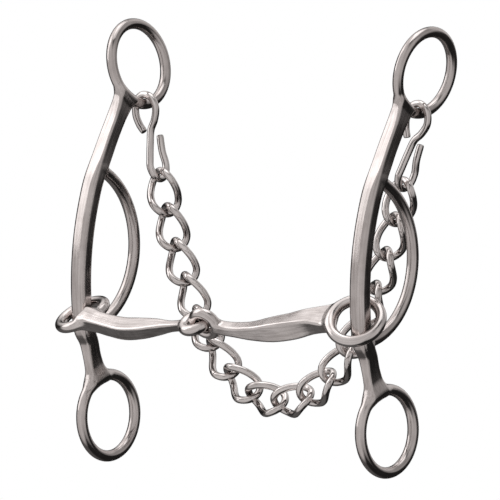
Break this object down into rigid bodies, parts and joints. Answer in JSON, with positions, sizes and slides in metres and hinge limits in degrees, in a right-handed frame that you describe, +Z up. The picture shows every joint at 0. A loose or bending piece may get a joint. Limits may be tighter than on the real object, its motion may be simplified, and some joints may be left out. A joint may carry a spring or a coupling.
{
  "type": "curb bit",
  "caption": "Sliding-mouth curb bit: loop-shank cheeks with headstall and rein rings, jointed mouthpiece, curb hooks and twisted-link curb chain.",
  "frame": {"origin": "centre of the bit's bounding box", "axes": "+X from the left cheek to the right cheek, +Y to the rear (towards the curb chain), +Z up along the shanks"},
  "size_m": [0.1502, 0.0676, 0.1635],
  "materials": {
    "cheek_steel": "polished stainless steel",
    "mouthpiece_steel": "satin-polished stainless steel",
    "hook_steel": "polished stainless steel wire",
    "chain_steel": "polished stainless steel wire"
  },
  "bodies": {
    "left_cheek": {"left_cheek": "cheek_steel"},
    "right_cheek": {"right_cheek": "cheek_steel"},
    "left_cannon": {"left_cannon": "mouthpiece_steel"},
    "right_cannon": {"right_cannon": "mouthpiece_steel"},
    "left_curb_hook": {"left_curb_hook": "hook_steel"},
    "right_curb_hook": {"right_curb_hook": "hook_steel"},
    "chain_link_01": {"chain_link_01": "chain_steel"},
    "chain_link_02": {"chain_link_02": "chain_steel"},
    "chain_link_03": {"chain_link_03": "chain_steel"},
    "chain_link_04": {"chain_link_04": "chain_steel"},
    "chain_link_05": {"chain_link_05": "chain_steel"},
    "chain_link_06": {"chain_link_06": "chain_steel"},
    "chain_link_07": {"chain_link_07": "chain_steel"},
    "chain_link_08": {"chain_link_08": "chain_steel"},
    "chain_link_09": {"chain_link_09": "chain_steel"},
    "chain_link_10": {"chain_link_10": "chain_steel"},
    "chain_link_11": {"chain_link_11": "chain_steel"},
    "chain_link_12": {"chain_link_12": "chain_steel"},
    "chain_link_13": {"chain_link_13": "chain_steel"},
    "chain_link_14": {"chain_link_14": "chain_steel"},
    "chain_link_15": {"chain_link_15": "chain_steel"},
    "chain_link_16": {"chain_link_16": "chain_steel"}
  },
  "joints": [
    {"name": "mouthpiece_slide", "type": "hinge", "parent": "left_cheek", "child": "left_cannon", "pos_m": [0, 0.08253, -0.014], "axis": [-1, 0, 0], "range_deg": [0, 20]},
    {"name": "mouth_fold", "type": "hinge", "parent": "left_cannon", "child": "right_cannon", "pos_m": [0, -0.02797, -0.0271], "axis": [0, 0.8241, -0.5664], "range_deg": [-9, 0]},
    {"name": "right_cheek_slide", "type": "hinge", "parent": "right_cannon", "child": "right_cheek", "pos_m": [0, 0.08253, -0.014], "axis": [-1, 0, 0], "range_deg": [-20, 0]},
    {"name": "left_hook_swing", "type": "hinge", "parent": "left_cheek", "child": "left_curb_hook", "pos_m": [0, 0.01673, 0.0648], "axis": [1, 0, 0], "range_deg": [0, 28]},
    {"name": "right_hook_swing", "type": "hinge", "parent": "right_cheek", "child": "right_curb_hook", "pos_m": [0, 0.01673, 0.0648], "axis": [1, 0, 0], "range_deg": [0, 28]},
    {"name": "chain_link_01_twist", "type": "hinge", "parent": "left_curb_hook", "child": "chain_link_01", "pos_m": [-0.05629, 0.01763, 0.01745], "axis": [0.2742, 0, -0.9617], "range_deg": [-10, 10]},
    {"name": "chain_link_02_twist", "type": "hinge", "parent": "left_curb_hook", "child": "chain_link_02", "pos_m": [-0.05236, 0.01763, 0.00465], "axis": [0.3127, 0, -0.9499], "range_deg": [-10, 10]},
    {"name": "chain_link_03_twist", "type": "hinge", "parent": "left_curb_hook", "child": "chain_link_03", "pos_m": [-0.04784, 0.01763, -0.00796], "axis": [0.3627, 0, -0.9319], "range_deg": [-10, 10]},
    {"name": "chain_link_04_twist", "type": "hinge", "parent": "left_curb_hook", "child": "chain_link_04", "pos_m": [-0.04253, 0.01763, -0.02025], "axis": [0.43, 0, -0.9029], "range_deg": [-10, 10]},
    {"name": "chain_link_05_twist", "type": "hinge", "parent": "left_curb_hook", "child": "chain_link_05", "pos_m": [-0.03615, 0.01763, -0.032], "axis": [0.5228, 0, -0.8525], "range_deg": [-10, 10]},
    {"name": "chain_link_06_twist", "type": "hinge", "parent": "left_curb_hook", "child": "chain_link_06", "pos_m": [-0.02828, 0.01763, -0.04278], "axis": [0.6524, 0, -0.7578], "range_deg": [-10, 10]},
    {"name": "chain_link_07_twist", "type": "hinge", "parent": "left_curb_hook", "child": "chain_link_07", "pos_m": [-0.01844, 0.01763, -0.05165], "axis": [0.8216, 0, -0.5701], "range_deg": [-10, 10]},
    {"name": "chain_link_08_twist", "type": "hinge", "parent": "left_curb_hook", "child": "chain_link_08", "pos_m": [-0.00648, 0.01763, -0.05695], "axis": [0.9745, 0, -0.2243], "range_deg": [-10, 10]},
    {"name": "chain_link_09_twist", "type": "hinge", "parent": "right_curb_hook", "child": "chain_link_09", "pos_m": [0.00648, 0.01763, -0.05695], "axis": [0.9745, 0, 0.2243], "range_deg": [-10, 10]},
    {"name": "chain_link_10_twist", "type": "hinge", "parent": "right_curb_hook", "child": "chain_link_10", "pos_m": [0.01844, 0.01763, -0.05165], "axis": [0.8216, 0, 0.5701], "range_deg": [-10, 10]},
    {"name": "chain_link_11_twist", "type": "hinge", "parent": "right_curb_hook", "child": "chain_link_11", "pos_m": [0.02828, 0.01763, -0.04278], "axis": [0.6524, 0, 0.7578], "range_deg": [-10, 10]},
    {"name": "chain_link_12_twist", "type": "hinge", "parent": "right_curb_hook", "child": "chain_link_12", "pos_m": [0.03615, 0.01763, -0.032], "axis": [0.5228, 0, 0.8525], "range_deg": [-10, 10]},
    {"name": "chain_link_13_twist", "type": "hinge", "parent": "right_curb_hook", "child": "chain_link_13", "pos_m": [0.04253, 0.01763, -0.02025], "axis": [0.43, 0, 0.9029], "range_deg": [-10, 10]},
    {"name": "chain_link_14_twist", "type": "hinge", "parent": "right_curb_hook", "child": "chain_link_14", "pos_m": [0.04784, 0.01763, -0.00796], "axis": [0.3627, 0, 0.9319], "range_deg": [-10, 10]},
    {"name": "chain_link_15_twist", "type": "hinge", "parent": "right_curb_hook", "child": "chain_link_15", "pos_m": [0.05236, 0.01763, 0.00465], "axis": [0.3127, 0, 0.9499], "range_deg": [-10, 10]},
    {"name": "chain_link_16_twist", "type": "hinge", "parent": "right_curb_hook", "child": "chain_link_16", "pos_m": [0.05629, 0.01763, 0.01745], "axis": [0.2742, 0, 0.9617], "range_deg": [-10, 10]}
  ],
  "couplings": [
    {"joint": "right_cheek_slide", "follows": "mouthpiece_slide", "ratio": -1},
    {"joint": "right_hook_swing", "follows": "left_hook_swing", "ratio": 1}
  ]
}
